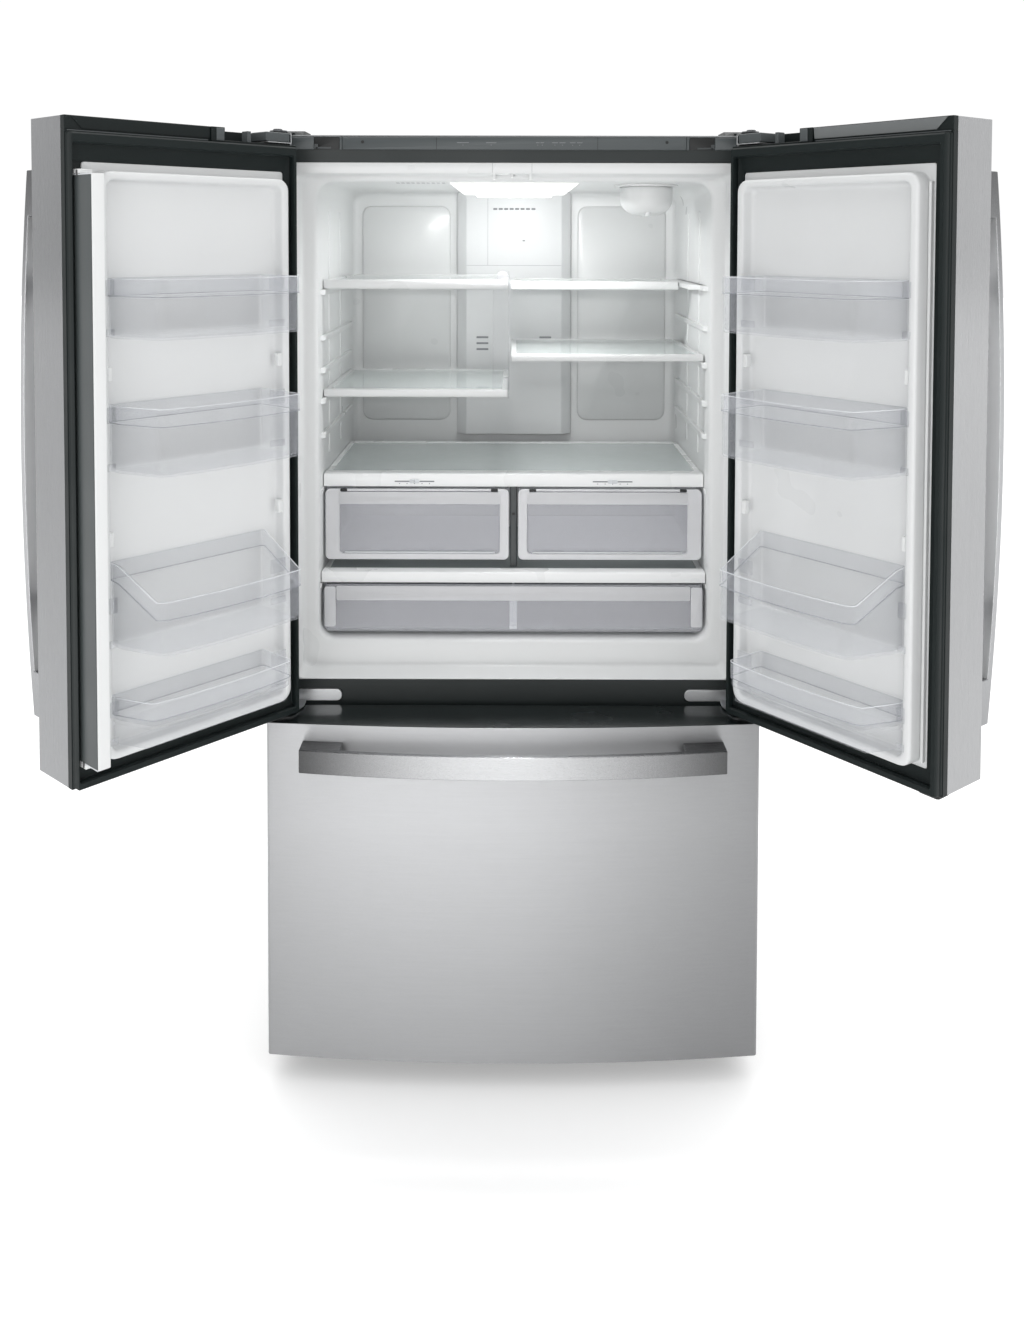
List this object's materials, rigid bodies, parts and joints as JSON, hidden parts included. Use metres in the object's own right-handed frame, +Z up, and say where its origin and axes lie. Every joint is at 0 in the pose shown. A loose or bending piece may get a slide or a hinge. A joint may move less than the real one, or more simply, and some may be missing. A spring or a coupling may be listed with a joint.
{
  "type": "french door refrigerator",
  "caption": "Refrigerator with paired doors over a freezer drawer: shelves, crispers, door bins, a folding centre seal bar and sliding baskets.",
  "frame": {"origin": "centre of the bounding box with the doors standing open, at the floor", "axes": "+Z up from the floor; -Y is the way the doors and drawers face; +X is to the right of a viewer standing in front"},
  "size_m": [1.6358, 1.1799, 1.775],
  "materials": {
    "stainless_steel": "vertically brushed stainless steel, soft sheen",
    "handle_steel": "brushed steel, slightly darker than the fronts",
    "painted_case": "grey painted sheet, fine texture",
    "galvanised_sheet": "bare galvanised sheet, dull",
    "hinge_metal": "plated hinge steel",
    "dark_plastic": "dark grey moulded, satin",
    "gloss_black": "black, glossy",
    "control_plastic": "dark grey strip, satin",
    "flipper_face": "dark grey, satin",
    "white_liner": "white vacuum-formed liner, smooth",
    "light_lens": "white diffusing lens",
    "shelf_frame": "white frame around a clear glass pane",
    "slider_plastic": "light grey moulded",
    "clear_plastic": "clear moulded plastic",
    "basket_plastic": "translucent white moulded",
    "gasket_rubber": "dark grey soft magnetic seal",
    "roller_nylon": "black nylon"
  },
  "bodies": {
    "cabinet": {"cabinet_shell": "painted_case", "back_panel": "galvanised_sheet", "machine_cover": "galvanised_sheet", "front_frame": "dark_plastic", "control_panel": "control_plastic", "fresh_food_liner": "white_liner", "freezer_liner": "white_liner", "light_lens": "light_lens", "air_duct_cover": "white_liner", "top_hinge_left": "hinge_metal", "top_hinge_right": "hinge_metal", "hinge_cover_left": "dark_plastic", "hinge_cover_right": "dark_plastic", "centre_hinge_left": "hinge_metal", "centre_hinge_right": "hinge_metal", "base_frame": "dark_plastic", "levelling_leg_left": "galvanised_sheet", "levelling_leg_right": "galvanised_sheet", "compressor": "gloss_black", "left_upper_shelf": "shelf_frame", "left_lower_shelf": "shelf_frame", "right_lower_shelf": "shelf_frame", "crisper_cover": "shelf_frame", "deli_cover": "shelf_frame"},
    "left_door": {"left_door_skin": "stainless_steel", "left_door_frame": "dark_plastic", "left_door_liner": "white_liner", "left_door_gasket": "gasket_rubber", "left_door_handle": "handle_steel", "left_door_bin_1": "clear_plastic", "left_door_bin_2": "clear_plastic", "left_door_bin_3": "clear_plastic", "left_door_bin_4": "clear_plastic"},
    "right_door": {"right_door_skin": "stainless_steel", "right_door_frame": "dark_plastic", "right_door_liner": "white_liner", "right_door_gasket": "gasket_rubber", "right_door_handle": "handle_steel", "right_door_bin_1": "clear_plastic", "right_door_bin_2": "clear_plastic", "right_door_bin_3": "clear_plastic", "right_door_bin_4": "clear_plastic"},
    "flipper": {"door_flipper": "flipper_face"},
    "freezer_drawer": {"freezer_front_skin": "stainless_steel", "freezer_front_frame": "gloss_black", "freezer_front_liner": "white_liner", "freezer_gasket": "gasket_rubber", "freezer_handle": "handle_steel", "freezer_slides": "galvanised_sheet", "freezer_lower_basket": "basket_plastic"},
    "upper_basket": {"freezer_upper_basket": "basket_plastic"},
    "half_shelf": {"half_depth_shelf": "shelf_frame"},
    "slider_left": {"humidity_slider_left": "slider_plastic"},
    "slider_right": {"humidity_slider_right": "slider_plastic"},
    "crisper_drawer_left": {"crisper_left": "clear_plastic"},
    "crisper_drawer_right": {"crisper_right": "clear_plastic"},
    "deli": {"deli_drawer": "clear_plastic"},
    "filter": {"water_filter": "white_liner"},
    "fan": {"condenser_fan": "gloss_black"},
    "rollers": {"rear_rollers": "roller_nylon"}
  },
  "joints": [
    {"name": "left_door_hinge", "type": "hinge", "parent": "cabinet", "child": "left_door", "pos_m": [-0.4355, -0.2085, 1.2], "axis": [0, 0, -1], "range_deg": [-132, 3]},
    {"name": "right_door_hinge", "type": "hinge", "parent": "cabinet", "child": "right_door", "pos_m": [0.4355, -0.2085, 1.2], "axis": [0, 0, 1], "range_deg": [-128, 7]},
    {"name": "flipper_hinge", "type": "hinge", "parent": "left_door", "child": "flipper", "pos_m": [-0.67799, -0.56038, 1.2], "axis": [0, 0, 1], "range_deg": [-90, 0]},
    {"name": "freezer_drawer_slide", "type": "slide", "parent": "cabinet", "child": "freezer_drawer", "axis": [0, -1, 0], "range_m": [0, 0.42]},
    {"name": "upper_basket_slide", "type": "slide", "parent": "freezer_drawer", "child": "upper_basket", "axis": [0, -1, 0], "range_m": [-0.189, 0]},
    {"name": "crisper_left_slide", "type": "slide", "parent": "cabinet", "child": "crisper_drawer_left", "axis": [0, -1, 0], "range_m": [0, 0.28]},
    {"name": "crisper_right_slide", "type": "slide", "parent": "cabinet", "child": "crisper_drawer_right", "axis": [0, -1, 0], "range_m": [0, 0.28]},
    {"name": "deli_drawer_slide", "type": "slide", "parent": "cabinet", "child": "deli", "axis": [0, -1, 0], "range_m": [0, 0.25]},
    {"name": "half_shelf_slide", "type": "slide", "parent": "cabinet", "child": "half_shelf", "axis": [0, -1, 0], "range_m": [0, 0.17]},
    {"name": "humidity_left_slide", "type": "slide", "parent": "cabinet", "child": "slider_left", "axis": [1, 0, 0], "range_m": [-0.03, 0.03]},
    {"name": "humidity_right_slide", "type": "slide", "parent": "cabinet", "child": "slider_right", "axis": [1, 0, 0], "range_m": [-0.03, 0.03]},
    {"name": "filter_turn", "type": "hinge", "parent": "cabinet", "child": "filter", "pos_m": [0.268, 0.015, 1.64], "axis": [0, 0, 1], "range_deg": [0, 90]},
    {"name": "condenser_fan_spin", "type": "hinge", "parent": "cabinet", "child": "fan", "pos_m": [0.065, 0.465, 0.165], "axis": [1, 0, 0], "continuous": true},
    {"name": "rear_rollers_spin", "type": "hinge", "parent": "cabinet", "child": "rollers", "pos_m": [0, 0.5, 0.025], "axis": [1, 0, 0], "continuous": true}
  ],
  "couplings": [
    {"joint": "upper_basket_slide", "follows": "freezer_drawer_slide", "ratio": -0.45}
  ]
}
